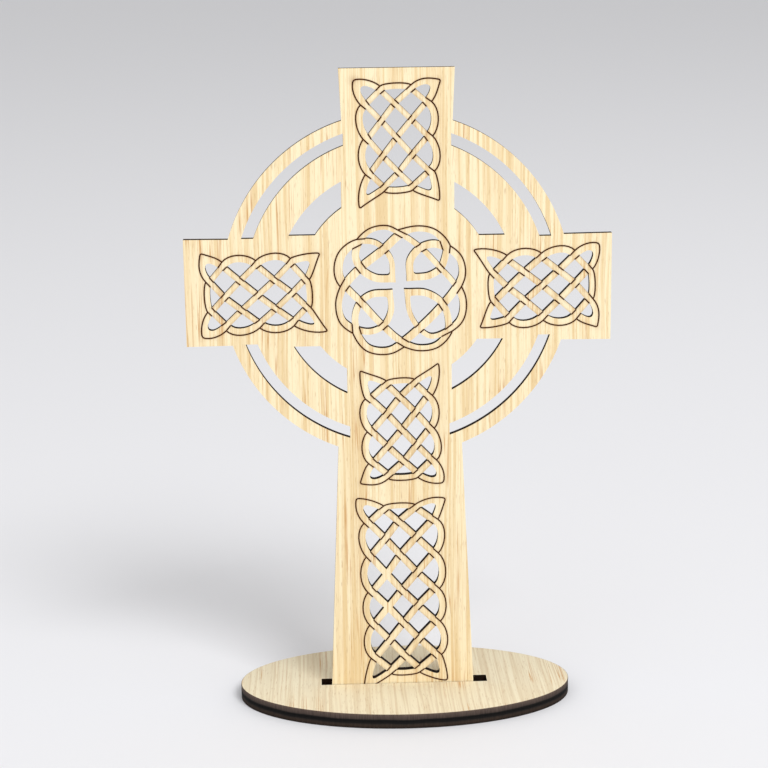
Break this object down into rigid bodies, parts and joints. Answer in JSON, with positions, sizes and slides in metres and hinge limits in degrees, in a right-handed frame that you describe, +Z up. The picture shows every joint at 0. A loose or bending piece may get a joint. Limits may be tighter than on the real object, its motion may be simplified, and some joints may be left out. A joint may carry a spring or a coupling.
{
  "type": "celtic cross ornament",
  "caption": "Standing Celtic cross of thin cut wood with an open ring and pierced plaited knotwork panels, its foot held in a slot of an oval wooden base.",
  "frame": {"origin": "on the underside of the base, midway along the cross's span and midway across the base's depth", "axes": "+Z up, +X to the right as the scored front is seen, the scored front faces -Y"},
  "size_m": [0.162, 0.0724, 0.2485],
  "materials": {
    "plate_wood": "pale veneered plywood, uncoated, with scorched cut edges and scored lines",
    "base_wood": "pale veneered plywood, uncoated, with scorched cut edges"
  },
  "bodies": {
    "root": {"cross_plate": "plate_wood", "base_oval_upper": "base_wood", "base_oval_lower": "base_wood"}
  },
  "joints": []
}
